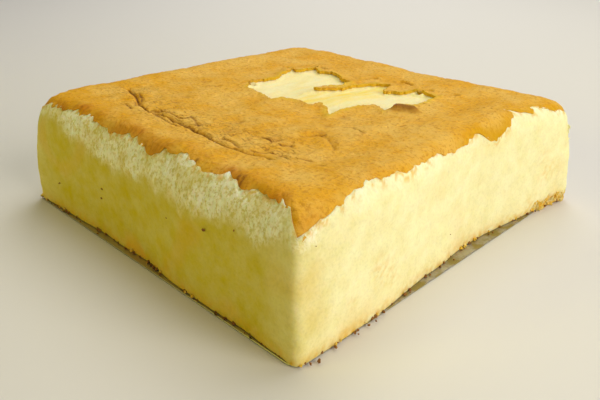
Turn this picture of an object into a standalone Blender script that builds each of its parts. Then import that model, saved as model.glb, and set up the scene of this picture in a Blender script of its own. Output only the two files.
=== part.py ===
"""A chiffon cake on the loose metal base of the square tin it was baked in.

Frame: metres, +Z up. The origin is the middle of the model's own box, on the underside of the tin base.
-Y is the front face, +X the right face.

The cake is one solid: a soft square loaf of crumb with a thin browned crust over its top. The crust's ragged
lower edge, the fold along the front and the torn patch where it pulled away are relief in that solid.
"""

import bmesh
import bpy
import numpy as np
from mathutils import Vector, noise

# ---- tin base
BASE_SIDE = 0.198
BASE_THICKNESS = 0.0008
BASE_CORNER_RADIUS = 0.005
BASE_CORNER_STEPS = 6
BASE_EDGE_BREAK = 0.0002
CONTACT_GAP = 0.0003            # clearance between the cake's foot and the sheet it sits on

# ---- the cake's main form. Corners are named by the signs of x and y, so (-1, -1) is the front left one.
CAKE_HALF = 0.0985              # middle of the cake to the plane of a side
PLAN_CORNER_RADIUS = 0.0035     # upright corners, seen from above
CRUST_THICKNESS = 0.0010
CORNERS = ((-1, -1), (1, -1), (1, 1), (-1, 1))
RIM_HEIGHT = (0.0590, 0.0605, 0.0570, 0.0545)     # foot to the top of the puffed rim, near each corner
MIDDLE_SAG = 0.0008             # the middle of the top lies this much below the rim
RIM_WIDTH = 0.030               # side to where the middle begins

# The rounding between a side and the top, measured inwards and downwards, for each of the four sides.
SIDES = ("front", "right", "back", "left")
ROLL_IN = (0.0130, 0.0100, 0.0120, 0.0120)
ROLL_DOWN = (0.0190, 0.0120, 0.0170, 0.0170)
BLEND_SHARE = 0.12              # share of a side over which it blends into the next

# How far each wall stands out past CAKE_HALF, along the side from the corner where it starts: the walls
# shrank away from the tin as the cake cooled, and the back right corner slumped outwards.
WALL_LINE = (
    ((0.0, 0.0008), (0.2, -0.0020), (0.5, -0.0028), (0.7, -0.0005), (0.85, -0.0012), (1.0, 0.0004)),
    ((0.0, 0.0004), (0.15, 0.0010), (0.3, -0.0005), (0.5, -0.0045), (0.6, -0.0055), (0.75, -0.0030),
     (0.9, 0.0020), (1.0, 0.0050)),
    ((0.0, 0.0065), (0.12, 0.0015), (0.4, -0.0030), (0.75, -0.0020), (1.0, 0.0005)),
    ((0.0, 0.0005), (0.3, -0.0025), (0.7, -0.0025), (1.0, 0.0008)),
)
WALL_FREE = (-0.030, 0.006)     # heights over which a wall comes free of the sheet to its full line

# Each corner of the top sets lower than the rim, and leans in towards the middle.
CORNER_DROP = (0.0060, 0.0040, 0.0030, 0.0050)
CORNER_LEAN = (0.0055, 0.0010, 0.0060, 0.0045)
CORNER_REACH = 6                # larger keeps both closer to the corners
LEAN_FROM = 0.20                # share of the height where the corners start to lean in

# Height of the crust's lower edge above the foot, round the four sides. The first value counts sides
# from the front left corner: 0 to 1 the front, 1 to 2 the right, 2 to 3 the back, 3 to 4 the left.
CRUST_EDGE = (
    (0.00, 0.0514), (0.06, 0.0537), (0.16, 0.0559), (0.24, 0.0560), (0.36, 0.0541), (0.46, 0.0568),
    (0.53, 0.0526), (0.57, 0.0562), (0.66, 0.0588), (0.73, 0.0557), (0.80, 0.0596), (0.85, 0.0562),
    (0.92, 0.0569), (0.955, 0.0590), (0.98, 0.0572), (1.00, 0.0501), (1.025, 0.0504), (1.05, 0.0527),
    (1.09, 0.0553), (1.15, 0.0571), (1.25, 0.0571), (1.34, 0.0548), (1.56, 0.0531), (1.61, 0.0548),
    (1.65, 0.0487), (1.70, 0.0509), (1.76, 0.0558), (1.79, 0.0572), (1.82, 0.0551), (1.87, 0.0558),
    (1.95, 0.0521), (2.00, 0.0480), (2.30, 0.0525), (2.62, 0.0500), (3.00, 0.0480), (3.35, 0.0515),
    (3.70, 0.0530),
)
EDGE_RAGGED = 0.0012            # how far the torn edge wanders above and below that line
EDGE_WAVES = ((0.13, 0.6), (0.05, 0.5))     # the wander is coarse and fine waves: length in radii, and share
STEP_HEIGHT = 0.0004            # drop from the crust's edge to the crumb under it
ROLL_LEAST = 0.004              # least height left for the rounding under the edge

# ---- relief of the top
CREASE = ((-0.0720, -0.0555), (-0.0580, -0.0600), (-0.0424, -0.0679), (-0.0293, -0.0710), (-0.0146, -0.0700),
          (0.0009, -0.0708), (0.0147, -0.0719), (0.0216, -0.0736), (0.0326, -0.0734), (0.0409, -0.0720),
          (0.0490, -0.0689), (0.0545, -0.0691))
CREASE_DEPTH = 0.0012
CREASE_HALF_WIDTH = 0.0018
SIDE_CREASE = ((0.0436, -0.0416), (0.0458, -0.0383), (0.0484, -0.0347), (0.0528, -0.0351), (0.0592, -0.0391),
               (0.0639, -0.0426))
SIDE_CREASE_DEPTH = 0.0008
BAND_PITCH = 0.020              # soft bars left by the cooling rack
BAND_DEPTH = 0.0002
TEAR_DEPTH = 0.0014             # crust thickness and the little crumb that came away with it
TEAR_WALL = (-0.0012, 0.0002)   # the step down into the bare patch, across its outline
TEAR_LIP = 0.0005               # crust curls up round it
TEAR_LIP_WIDTH = 0.003
# The bare patch, whose outline two narrow strips of crust run into from the back.
BARE_PATCH = (
    (-0.0300, -0.0093), (-0.0359, -0.0019), (-0.0377, 0.0055), (-0.0361, 0.0119), (-0.0356, 0.0197),
    (-0.0401, 0.0277), (-0.0411, 0.0361), (-0.0359, 0.0383), (-0.0358, 0.0464), (-0.0351, 0.0514),
    (-0.0275, 0.0458), (-0.0196, 0.0488), (-0.0128, 0.0482), (-0.0065, 0.0424), (-0.0008, 0.0435),
    (0.0026, 0.0330), (0.0006, 0.0273), (-0.0010, 0.0182), (-0.0040, 0.0082), (0.0014, 0.0170),
    (0.0060, 0.0220), (0.0077, 0.0282), (0.0059, 0.0383), (0.0086, 0.0473), (0.0104, 0.0526),
    (0.0198, 0.0544), (0.0261, 0.0391), (0.0287, 0.0442), (0.0333, 0.0451), (0.0361, 0.0543),
    (0.0420, 0.0519), (0.0506, 0.0525), (0.0549, 0.0346), (0.0551, 0.0274), (0.0520, 0.0248),
    (0.0535, 0.0190), (0.0530, 0.0130), (0.0505, 0.0095), (0.0453, 0.0126), (0.0430, 0.0124),
    (0.0361, 0.0061), (0.0331, -0.0024), (0.0333, -0.0116), (0.0242, -0.0043), (0.0190, -0.0022),
    (0.0175, -0.0086), (0.0086, -0.0064), (0.0031, -0.0078), (-0.0021, -0.0096), (-0.0047, -0.0151),
    (-0.0139, -0.0112), (-0.0205, -0.0109),
)
FLAP = ((0.0530, 0.0150), (0.0610, 0.0195))     # a tab of crust that stands up beside the bare patch
FLAP_LIFT = 0.0028
FLAP_HALF_WIDTH = 0.0024

# ---- unevenness of a hand-made sponge
LUMP_SIZE = 0.032
LUMP_HEIGHT = 0.0007
SIDE_LUMP_SIZE = 0.022
SIDE_LUMP_DEPTH = 0.0006
EDGE_SEED, TOP_SEED, SIDE_SEED = 3, 5, 17

# ---- how finely the cake is divided
TOP_CELLS = 56                  # cells across the top, and along each side
EDGE_ROWS = 1                   # the step under the crust's edge
ROLL_ROWS = 3                   # crumb of the rounding
WALL_ROWS = 5                   # the upright part
ROWS = EDGE_ROWS + ROLL_ROWS + WALL_ROWS
GATHER_REACH = 0.005            # grid points this near the patch or a fold are drawn to its line
TINY = 1e-6


def smooth_step(value, low, high):
    """0 below low, 1 above high, and a smooth rise between."""
    t = np.clip((value - low) / (high - low), 0.0, 1.0)
    return t * t * (3 - 2 * t)


def lumps(points, size, seed):
    """Smooth noise from about -1 to 1 at 3-D points."""
    return np.array([noise.noise(Vector(p) / size + Vector((seed, 0, 0))) for p in points]) * 2


# ---------------------------------------------------------------- the form of the cake
def ring_on_rounded_square(flat):
    """Takes points of the square from -1 to 1. Returns each one's ring, from 0 in the middle to 1 at the
    edge, and the point of the rounded outline that it heads for."""
    ring = np.maximum(np.abs(flat).max(axis=1), TINY)
    outline = flat / ring[:, None]
    radius = PLAN_CORNER_RADIUS / CAKE_HALF
    core = np.clip(outline, -(1 - radius), 1 - radius)
    away = outline - core
    length = np.maximum(np.linalg.norm(away, axis=1), TINY)
    return ring, core + radius * away / length[:, None]


def way_round(flat):
    """How far round the four sides a direction lies, from 0 to 4, counted as in CRUST_EDGE."""
    x, y = (flat / np.maximum(np.abs(flat).max(axis=1), TINY)[:, None]).T
    front = (1 + x) / 2
    right = 1 + (1 + y) / 2
    back = 2 + (1 - x) / 2
    left = 3 + (1 - y) / 2
    on_front_or_back = np.abs(y) >= np.abs(x)
    return np.where(on_front_or_back, np.where(y < 0, front, back), np.where(x > 0, right, left))


def crust_edge_height(around):
    """Height of the crust's ragged lower edge above the foot."""
    places, heights = zip(*CRUST_EDGE)
    smooth = np.interp(around, places, heights, period=4)
    circle = np.stack([np.cos(around * np.pi / 2), np.sin(around * np.pi / 2), np.zeros_like(around)], axis=1)
    wander = sum(share * lumps(circle, length, EDGE_SEED) for length, share in EDGE_WAVES)
    return smooth + EDGE_RAGGED * wander


def side_value(around, values):
    """A value given for each side, the same along the side and blended over at the corners."""
    places = [side + share for side in range(len(SIDES)) for share in (BLEND_SHARE, 1 - BLEND_SHARE)]
    return np.interp(around, places, np.repeat(values, 2), period=len(SIDES))


def corner_value(xy, values):
    """A value given for each corner, blended evenly between them."""
    x, y = (xy / CAKE_HALF).T
    shares = [(1 + side_x * x) * (1 + side_y * y) / 4 for side_x, side_y in CORNERS]
    return sum(share * value for share, value in zip(shares, values))


def nearness_to_corner(xy):
    """1 at a corner, falling off quickly along the sides and inwards."""
    return np.clip(np.abs(xy[:, 0] * xy[:, 1]) / CAKE_HALF ** 2, 0, 1) ** CORNER_REACH


def crown(xy):
    """Height of the top above the foot, before its edges are rounded: a puffed rim round a flatter middle."""
    inset = CAKE_HALF - np.abs(xy).max(axis=1)
    sag = MIDDLE_SAG * smooth_step(inset, RIM_WIDTH / 3, RIM_WIDTH)
    return corner_value(xy, RIM_HEIGHT) - sag - corner_value(xy, CORNER_DROP) * nearness_to_corner(xy)


def roll_drop(inset, across, down):
    """How far the rounded shoulder lies below the crown, at a distance in from the side."""
    return down * (1 - np.sqrt(1 - (1 - np.clip(inset / across, 0, 1)) ** 2))


def roll_inset(drop, across, down):
    """The reverse of roll_drop: how far in from the side the shoulder is, at a depth below the crown."""
    return across * (1 - np.sqrt(1 - (1 - np.clip(drop / down, 0, 1)) ** 2))


def smooth_line(places, keys):
    """Reads a smooth curve that runs through key points given as (place, value)."""
    at, values = np.array(keys).T
    slopes = np.gradient(values, at)
    left = np.clip(np.searchsorted(at, places, side="right") - 1, 0, len(at) - 2)
    width = at[left + 1] - at[left]
    t = np.clip((places - at[left]) / width, 0, 1)
    from_left = (1 + 2 * t) * (1 - t) ** 2 * values[left] + t * (1 - t) ** 2 * width * slopes[left]
    from_right = t ** 2 * (3 - 2 * t) * values[left + 1] - t ** 2 * (1 - t) * width * slopes[left + 1]
    return from_left + from_right


def settle(points):
    """Moves the walls in or out to their real line, and leans the corners in towards the top."""
    x, y, z = points.T
    along_x, along_y = (x / CAKE_HALF + 1) / 2, (y / CAKE_HALF + 1) / 2
    front, right, back, left = WALL_LINE
    out_x = np.where(x > 0, smooth_line(along_y, right), smooth_line(1 - along_y, left))
    out_y = np.where(y > 0, smooth_line(1 - along_x, back), smooth_line(along_x, front))
    free = smooth_step(z, *WALL_FREE)
    near = nearness_to_corner(points[:, :2])
    lean = corner_value(points[:, :2], CORNER_LEAN) * near * smooth_step(z / max(RIM_HEIGHT), LEAN_FROM, 1.0)
    moved_x = x * (1 + (out_x * free - lean) / CAKE_HALF)
    moved_y = y * (1 + (out_y * free - lean) / CAKE_HALF)
    return np.stack([moved_x, moved_y, z], axis=1)


# ---------------------------------------------------------------- folds and tears
def nearest_on_line(xy, line, closed):
    """For each point, the nearest point of a line of straight pieces, and the distance to it."""
    starts = np.array(line)
    ends = np.roll(starts, -1, axis=0)
    if not closed:
        starts, ends = starts[:-1], ends[:-1]
    run = ends - starts
    share = ((xy[:, None] - starts) * run).sum(axis=2) / (run ** 2).sum(axis=1)
    feet = starts + np.clip(share, 0, 1)[..., None] * run
    gaps = np.linalg.norm(xy[:, None] - feet, axis=2)
    best = gaps.argmin(axis=1)
    rows = np.arange(len(xy))
    return feet[rows, best], gaps[rows, best]


def inside(xy, outline):
    """True for the points that a closed outline holds."""
    starts = np.array(outline)
    ends = np.roll(starts, -1, axis=0)
    x, y = xy[:, :1], xy[:, 1:]
    crosses = (starts[:, 1] > y) != (ends[:, 1] > y)
    level = np.where(ends[:, 1] == starts[:, 1], 1.0, ends[:, 1] - starts[:, 1])
    where = starts[:, 0] + (y - starts[:, 1]) / level * (ends[:, 0] - starts[:, 0])
    return (crosses & (x < where)).sum(axis=1) % 2 == 1


def gather(xy, line, closed):
    """Draws the grid's points towards a line, so that the relief there has a crisp edge."""
    foot, gap = nearest_on_line(xy, line, closed)
    pull = np.where(gap < GATHER_REACH, 1 - gap / GATHER_REACH, 0.0)
    return xy + (foot - xy) * pull[:, None]


def top_relief(xy):
    """Height of the folds, rack bars, bare patch and lumps above the plain top."""
    height = LUMP_HEIGHT * lumps(np.column_stack([xy, np.zeros(len(xy))]), LUMP_SIZE, TOP_SEED)
    height += BAND_DEPTH * np.cos(2 * np.pi * xy[:, 0] / BAND_PITCH)
    for line, depth in ((CREASE, CREASE_DEPTH), (SIDE_CREASE, SIDE_CREASE_DEPTH)):
        gap = nearest_on_line(xy, line, closed=False)[1]
        height -= depth * np.exp(-(gap / CREASE_HALF_WIDTH) ** 2)
    gap = nearest_on_line(xy, BARE_PATCH, closed=True)[1]
    signed = np.where(inside(xy, BARE_PATCH), -gap, gap)
    height -= TEAR_DEPTH * (1 - smooth_step(signed, *TEAR_WALL))
    height += TEAR_LIP * np.exp(-(gap / TEAR_LIP_WIDTH) ** 2) * (signed > 0)
    gap = nearest_on_line(xy, FLAP, closed=False)[1]
    return height + FLAP_LIFT * np.exp(-(gap / FLAP_HALF_WIDTH) ** 2)


# ---------------------------------------------------------------- placing the grid's points
def place_top(flat):
    """The crust: from the middle of the top, over the shoulder, down to its ragged edge."""
    ring, outline = ring_on_rounded_square(flat)
    around = way_round(flat)
    across, down = side_value(around, ROLL_IN), side_value(around, ROLL_DOWN)
    edge_drop = crown(outline * (CAKE_HALF - across)[:, None]) - crust_edge_height(around)
    edge_inset = roll_inset(edge_drop, across, down)
    xy = outline * (ring * (CAKE_HALF - edge_inset))[:, None]
    xy = gather(xy, BARE_PATCH, closed=True)
    for line in (CREASE, SIDE_CREASE, FLAP):
        xy = gather(xy, line, closed=False)
    inset = CAKE_HALF * (1 - ring) + ring * edge_inset
    on_wall = np.maximum(edge_drop - down, 0) * (ring > 1 - TINY)
    height = crown(xy) - roll_drop(inset, across, down) - on_wall
    height += top_relief(xy) * smooth_step(inset, 0.0, across)
    tilt = np.clip(1 - inset / across, 0, 1)
    proud = outline * (CRUST_THICKNESS * tilt)[:, None]
    return np.column_stack([xy + proud, height])


def place_side(flat, row):
    """The crumb under the crust's edge: the step, the rest of the shoulder and the upright wall."""
    outline = ring_on_rounded_square(flat)[1]
    around = way_round(flat)
    across, down = side_value(around, ROLL_IN), side_value(around, ROLL_DOWN)
    rim = crown(outline * (CAKE_HALF - across)[:, None])
    step = crust_edge_height(around) - STEP_HEIGHT
    shoulder = np.minimum(rim - down, step - ROLL_LEAST)
    down_roll = (row - EDGE_ROWS) / ROLL_ROWS
    down_wall = (row - EDGE_ROWS - ROLL_ROWS) / WALL_ROWS
    on_roll = step + (shoulder - step) * down_roll
    on_wall = shoulder * (1 - down_wall)
    height = np.where(row <= EDGE_ROWS + ROLL_ROWS, on_roll, on_wall)
    inset = roll_inset(rim - height, across, down)
    points = np.column_stack([outline * (CAKE_HALF - inset)[:, None], height])
    swell = SIDE_LUMP_DEPTH * lumps(points, SIDE_LUMP_SIZE, SIDE_SEED) * smooth_step(height, *WALL_FREE)
    points[:, :2] += outline * swell[:, None]
    return points


# ---------------------------------------------------------------- making the objects
def material(name, colour, roughness, metallic=0.0):
    made = bpy.data.materials.new(name)
    made.use_nodes = True
    shader = made.node_tree.nodes["Principled BSDF"]
    shader.inputs["Base Color"].default_value = (*colour, 1.0)
    shader.inputs["Roughness"].default_value = roughness
    shader.inputs["Metallic"].default_value = metallic
    return made


def add_object(name, bm, collection, finish):
    mesh = bpy.data.meshes.new(name)
    bm.to_mesh(mesh)
    bm.free()
    mesh.materials.append(finish)
    mesh.shade_smooth()
    made = bpy.data.objects.new(name, mesh)
    collection.objects.link(made)
    return made


def cut_along(bm, axis, cuts):
    """Divides every edge that runs along one axis."""
    along = [e for e in bm.edges if abs((e.verts[1].co - e.verts[0].co)[axis]) > TINY]
    bmesh.ops.subdivide_edges(bm, edges=along, cuts=cuts, use_grid_fill=True)


def make_cake(collection):
    """A cube divided into a fine grid, whose points are then moved onto the cake's form."""
    bm = bmesh.new()
    bmesh.ops.create_cube(bm, size=2.0)
    cut_along(bm, 2, ROWS - 1)
    cut_along(bm, 0, TOP_CELLS - 1)
    cut_along(bm, 1, TOP_CELLS - 1)
    underside = [f for f in bm.faces if f.normal.z < -0.5]
    bmesh.ops.dissolve_faces(bm, faces=underside, use_verts=False)

    verts = list(bm.verts)
    cube = np.array([v.co for v in verts])
    on_top = cube[:, 2] > 1 - TINY
    placed = np.empty_like(cube)
    placed[on_top] = place_top(cube[on_top, :2])
    row = (1 - cube[~on_top, 2]) / 2 * ROWS
    placed[~on_top] = place_side(cube[~on_top, :2], row)
    placed = settle(placed)
    placed[:, 2] += BASE_THICKNESS + CONTACT_GAP
    for vert, point in zip(verts, placed):
        vert.co = point
    bmesh.ops.recalc_face_normals(bm, faces=bm.faces)
    return add_object("cake", bm, collection, material("sponge with browned crust", (0.72, 0.45, 0.11), 0.8))


def make_tin_base(collection):
    """A square of sheet metal with its corners rounded and its edges broken."""
    bm = bmesh.new()
    bmesh.ops.create_cube(bm, size=1.0)
    bmesh.ops.scale(bm, vec=(BASE_SIDE, BASE_SIDE, BASE_THICKNESS), verts=bm.verts)
    bmesh.ops.translate(bm, vec=(0, 0, BASE_THICKNESS / 2), verts=bm.verts)
    upright = [e for e in bm.edges if abs(e.verts[0].co.z - e.verts[1].co.z) > BASE_THICKNESS / 2]
    bmesh.ops.bevel(bm, geom=upright, offset=BASE_CORNER_RADIUS, segments=BASE_CORNER_STEPS,
                    affect="EDGES", profile=0.5)
    rims = [e for e in bm.edges if len({f.normal.z > 0.5 or f.normal.z < -0.5 for f in e.link_faces}) == 2]
    bmesh.ops.bevel(bm, geom=rims, offset=BASE_EDGE_BREAK, segments=1, affect="EDGES", profile=0.5)
    return add_object("tin_base", bm, collection, material("aluminium sheet", (0.42, 0.40, 0.34), 0.45, 0.8))


def stand_on_origin(parts):
    """Moves all the parts together, so that the middle of their common box is over the origin."""
    corners = np.array([v.co for part in parts for v in part.data.vertices])
    low, high = corners.min(axis=0), corners.max(axis=0)
    shift = Vector((-(low[0] + high[0]) / 2, -(low[1] + high[1]) / 2, -low[2]))
    for part in parts:
        for vert in part.data.vertices:
            vert.co += shift


def build():
    for leftover in list(bpy.data.objects):
        bpy.data.objects.remove(leftover, do_unlink=True)
    collection = bpy.data.collections.new("chiffon_cake")
    bpy.context.scene.collection.children.link(collection)
    stand_on_origin([make_tin_base(collection), make_cake(collection)])


build()
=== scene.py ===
import math
import random

import bmesh
import bpy
import numpy as np
from mathutils import Matrix, Vector, noise


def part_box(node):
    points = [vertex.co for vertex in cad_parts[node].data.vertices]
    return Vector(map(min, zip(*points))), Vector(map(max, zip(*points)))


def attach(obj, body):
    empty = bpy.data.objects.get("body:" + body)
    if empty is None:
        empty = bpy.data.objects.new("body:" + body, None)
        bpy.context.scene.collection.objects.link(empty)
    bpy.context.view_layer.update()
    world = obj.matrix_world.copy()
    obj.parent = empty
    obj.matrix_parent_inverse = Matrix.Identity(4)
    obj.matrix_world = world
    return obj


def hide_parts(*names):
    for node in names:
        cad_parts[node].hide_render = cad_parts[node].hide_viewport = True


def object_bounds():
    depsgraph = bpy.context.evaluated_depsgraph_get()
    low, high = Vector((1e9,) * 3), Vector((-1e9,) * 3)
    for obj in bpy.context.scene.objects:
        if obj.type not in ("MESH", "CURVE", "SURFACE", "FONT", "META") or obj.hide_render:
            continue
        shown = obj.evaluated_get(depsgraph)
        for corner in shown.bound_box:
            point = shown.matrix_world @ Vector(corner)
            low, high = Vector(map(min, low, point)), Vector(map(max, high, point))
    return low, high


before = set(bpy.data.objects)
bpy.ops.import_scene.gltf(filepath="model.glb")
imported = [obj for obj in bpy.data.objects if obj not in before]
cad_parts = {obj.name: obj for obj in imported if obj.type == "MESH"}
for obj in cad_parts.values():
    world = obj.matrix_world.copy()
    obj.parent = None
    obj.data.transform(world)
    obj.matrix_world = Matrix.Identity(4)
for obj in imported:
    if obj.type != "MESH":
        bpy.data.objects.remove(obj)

CAD_BOX = [list(corner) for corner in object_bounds()]


# ================================================================ the tin's loose base
# A square of 0.8 mm aluminium sheet, stamped flat, that drops into a loose-bottomed cake tin. The cake was
# lifted out on it. It shows as a thin metal edge under the walls, and where they shrank away from it the
# baked-on film of batter shows too.
TIN_LOW, TIN_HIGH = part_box("tin_base")
SHEET_WIDTH = TIN_HIGH.x - TIN_LOW.x
METAL_GREY = "#b4b0a4"
BAKED_FILM = "#8f7f3c"
FILM_PATCH = 0.009              # width of the patches of baked film
POLISH_PITCH = 0.0006           # the rolling marks are finer than this, drawn as coarse as they can show
POLISH_DRAWN = 0.05             # and are 20 times as long as they are wide
POLISH_DEPTH = 0.00005
RUBBED_EDGE = 0.0015            # the film is rubbed off this far in from the edge
RUBBED = (0.42, 0.60)           # noise values between which the film is rubbed through to the metal


def linear(colour):
    """An sRGB hex colour as a linear RGBA value."""
    shares = [int(colour[i:i + 2], 16) / 255 for i in (1, 3, 5)]
    return (*[s / 12.92 if s <= 0.04045 else ((s + 0.055) / 1.055) ** 2.4 for s in shares], 1.0)


def set_up(tree, node, settings=None, links=None):
    """Sets a node's properties or inputs and links into it. A link from a node is from its first output."""
    for name, value in (settings or {}).items():
        if isinstance(name, str) and hasattr(node, name):
            setattr(node, name, value)
        else:
            node.inputs[name].default_value = value
    for name, source in (links or {}).items():
        tree.links.new(source.outputs[0] if hasattr(source, "outputs") else source, node.inputs[name])
    return node


def add_node(tree, kind, settings=None, links=None):
    """Adds a shader node with its settings and links."""
    return set_up(tree, tree.nodes.new("ShaderNode" + kind), settings, links)


def new_material(name):
    """A material with a bare Principled shader. Returns the material, its node tree and the shader."""
    made = bpy.data.materials.new(name)
    made.use_nodes = True
    return made, made.node_tree, made.node_tree.nodes["Principled BSDF"]


def rolled_aluminium():
    """Rolled aluminium dulled by many bakes: a grey, streaky sheen under a thin film of browned batter."""
    made, tree, shader = new_material("rolled aluminium with baked film")
    place = add_node(tree, "TexCoord").outputs["Object"]
    patches = add_node(tree, "TexNoise", {"Scale": 1 / FILM_PATCH, "Detail": 5.0, "Roughness": 0.6},
                       {"Vector": place})
    film = add_node(tree, "MapRange", {"From Min": RUBBED[0], "From Max": RUBBED[1]}, {"Value": patches})
    along = add_node(tree, "Mapping", {"Scale": (1, POLISH_DRAWN, 1)}, {"Vector": place})
    streaks = add_node(tree, "TexNoise", {"Scale": 1 / POLISH_PITCH, "Detail": 2.0}, {"Vector": along})
    sides = add_node(tree, "SeparateXYZ", links={"Vector": place})
    from_x = add_node(tree, "Math", {"operation": "ABSOLUTE"}, {0: sides.outputs["X"]})
    from_y = add_node(tree, "Math", {"operation": "ABSOLUTE"}, {0: sides.outputs["Y"]})
    farther = add_node(tree, "Math", {"operation": "MAXIMUM"}, {0: from_x, 1: from_y})
    half = SHEET_WIDTH / 2
    edge = add_node(tree, "MapRange", {"From Min": half - RUBBED_EDGE, "From Max": half}, {"Value": farther})
    bare = add_node(tree, "Math", {"operation": "ADD", "use_clamp": True}, {0: film, 1: edge})
    colour = add_node(tree, "MixRGB", {"Color1": linear(BAKED_FILM), "Color2": linear(METAL_GREY)},
                      {"Fac": bare})
    metallic = add_node(tree, "MapRange", {"To Min": 0.25, "To Max": 0.9}, {"Value": bare})
    roughness = add_node(tree, "MapRange", {"To Min": 0.62, "To Max": 0.38}, {"Value": bare})
    bump = add_node(tree, "Bump", {"Strength": 0.4, "Distance": POLISH_DEPTH}, {"Height": streaks})
    set_up(tree, shader, links={"Base Color": colour, "Metallic": metallic, "Roughness": roughness,
                                "Normal": bump})
    return made


tin_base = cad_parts["tin_base"]
tin_base.data.materials.clear()
tin_base.data.materials.append(rolled_aluminium())


# ================================================================ the sponge
# The crumb of a chiffon cake: eggs, oil, flour and whipped whites, poured into the tin and baked there. It is
# one soft block, pale and fine where it stood against the tin, with fuzzy streaks under the crust where it
# clung to the tin and tore, and bare in one patch on top where the crust was pulled off by a rack.
CLEARANCE = 0.0003              # between the sheet and the cake's foot
MIDDLE = (TIN_LOW + TIN_HIGH) / 2
STANDS_AT = np.array([MIDDLE.x, MIDDLE.y, TIN_HIGH.z + CLEARANCE])
CAKE_HALF = 0.0985              # middle of the cake to the plane of a side
PLAN_CORNER_RADIUS = 0.0035     # upright corners, seen from above
CORNERS = ((-1, -1), (1, -1), (1, 1), (-1, 1))
RIM_HEIGHT = (0.0590, 0.0605, 0.0570, 0.0545)     # foot to the top of the puffed rim, near each corner
RIM_WIDTH = 0.030
MIDDLE_SAG = 0.0008             # the middle sank below the rim by this much
SIDES = 4
# The rounding of the top's edge, inwards and downwards, for the front, right, back and left.
ROLL_IN = (0.0130, 0.0100, 0.0120, 0.0120)
ROLL_DOWN = (0.0190, 0.0120, 0.0170, 0.0170)
BLEND_SHARE = 0.12              # share of a side over which it blends into the next

# How far each wall stands out past CAKE_HALF, along the side from the corner where it starts.
WALL_LINE = (
    ((0.0, 0.0008), (0.2, -0.0020), (0.5, -0.0028), (0.7, -0.0005), (0.85, -0.0012), (1.0, 0.0004)),
    ((0.0, 0.0004), (0.15, 0.0010), (0.3, -0.0005), (0.5, -0.0045), (0.6, -0.0055), (0.75, -0.0030),
     (0.9, 0.0020), (1.0, 0.0050)),
    ((0.0, 0.0065), (0.12, 0.0015), (0.4, -0.0030), (0.75, -0.0020), (1.0, 0.0005)),
    ((0.0, 0.0005), (0.3, -0.0025), (0.7, -0.0025), (1.0, 0.0008)),
)
WALL_FREE = (-0.030, 0.006)     # the walls stray in full above the second height, and less towards the first
CORNER_DROP = (0.0060, 0.0040, 0.0030, 0.0050)    # each corner of the top sank by this much more
CORNER_LEAN = (0.0055, 0.0010, 0.0060, 0.0045)    # and leans in by this much
CORNER_REACH = 6                # a higher number keeps both closer to the corner
LEAN_FROM = 0.20                # share of the height at which a corner starts to lean

# Height of the crust's lower edge above the foot, counted in sides from the front left corner.
CRUST_EDGE = (
    (0.00, 0.0514), (0.06, 0.0537), (0.16, 0.0559), (0.24, 0.0560), (0.36, 0.0541), (0.46, 0.0568),
    (0.53, 0.0526), (0.57, 0.0562), (0.66, 0.0588), (0.73, 0.0557), (0.80, 0.0596), (0.85, 0.0562),
    (0.92, 0.0569), (0.955, 0.0590), (0.98, 0.0572), (1.00, 0.0501), (1.025, 0.0504), (1.05, 0.0527),
    (1.09, 0.0553), (1.15, 0.0571), (1.25, 0.0571), (1.34, 0.0548), (1.56, 0.0531), (1.61, 0.0548),
    (1.65, 0.0487), (1.70, 0.0509), (1.76, 0.0558), (1.79, 0.0572), (1.82, 0.0551), (1.87, 0.0558),
    (1.95, 0.0521), (2.00, 0.0480), (2.30, 0.0525), (2.62, 0.0500), (3.00, 0.0480), (3.35, 0.0515),
    (3.70, 0.0530),
)
EDGE_RAGGED = 0.0012
EDGE_WAVES = ((0.13, 0.6), (0.05, 0.5), (0.03, 0.45), (0.018, 0.25))  # wave length in radii, and share
BARE_PATCH = (
    (-0.0300, -0.0093), (-0.0359, -0.0019), (-0.0377, 0.0055), (-0.0361, 0.0119), (-0.0356, 0.0197),
    (-0.0401, 0.0277), (-0.0411, 0.0361), (-0.0359, 0.0383), (-0.0358, 0.0464), (-0.0351, 0.0514),
    (-0.0275, 0.0458), (-0.0196, 0.0488), (-0.0128, 0.0482), (-0.0065, 0.0424), (-0.0008, 0.0435),
    (0.0026, 0.0330), (0.0006, 0.0273), (-0.0010, 0.0182), (-0.0040, 0.0082), (0.0014, 0.0170),
    (0.0060, 0.0220), (0.0077, 0.0282), (0.0059, 0.0383), (0.0086, 0.0473), (0.0104, 0.0526),
    (0.0198, 0.0544), (0.0261, 0.0391), (0.0287, 0.0442), (0.0333, 0.0451), (0.0361, 0.0543),
    (0.0420, 0.0519), (0.0506, 0.0525), (0.0549, 0.0346), (0.0551, 0.0274), (0.0520, 0.0248),
    (0.0535, 0.0190), (0.0530, 0.0130), (0.0505, 0.0095), (0.0453, 0.0126), (0.0430, 0.0124),
    (0.0361, 0.0061), (0.0331, -0.0024), (0.0333, -0.0116), (0.0242, -0.0043), (0.0190, -0.0022),
    (0.0175, -0.0086), (0.0086, -0.0064), (0.0031, -0.0078), (-0.0021, -0.0096), (-0.0047, -0.0151),
    (-0.0139, -0.0112), (-0.0205, -0.0109),
)
TEAR_STEP = 0.0009              # the patch's edge turns a small corner about this often
TEAR_JITTER = 0.0009            # and strays this far
TEAR_FLOOR = 0.0014             # depth of the bare crumb below the crust's face
LUMP_SIZE, LUMP_HEIGHT = 0.032, 0.0007            # broad lumps of the top
SIDE_LUMP_SIZE, SIDE_LUMP_DEPTH = 0.022, 0.0006   # and of the walls
BAND_PITCH = 0.020              # soft bars left by the cooling rack
BAND_DEPTH = 0.0002
EDGE_SEED, TOP_SEED, SIDE_SEED, TEAR_SEED = 3, 5, 17, 23
CRUMB_CELLS = 196               # cells along a side, so that one is about 1 mm
CRUMB_ROWS = 58                 # cells from under the crust's edge down to the foot
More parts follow.
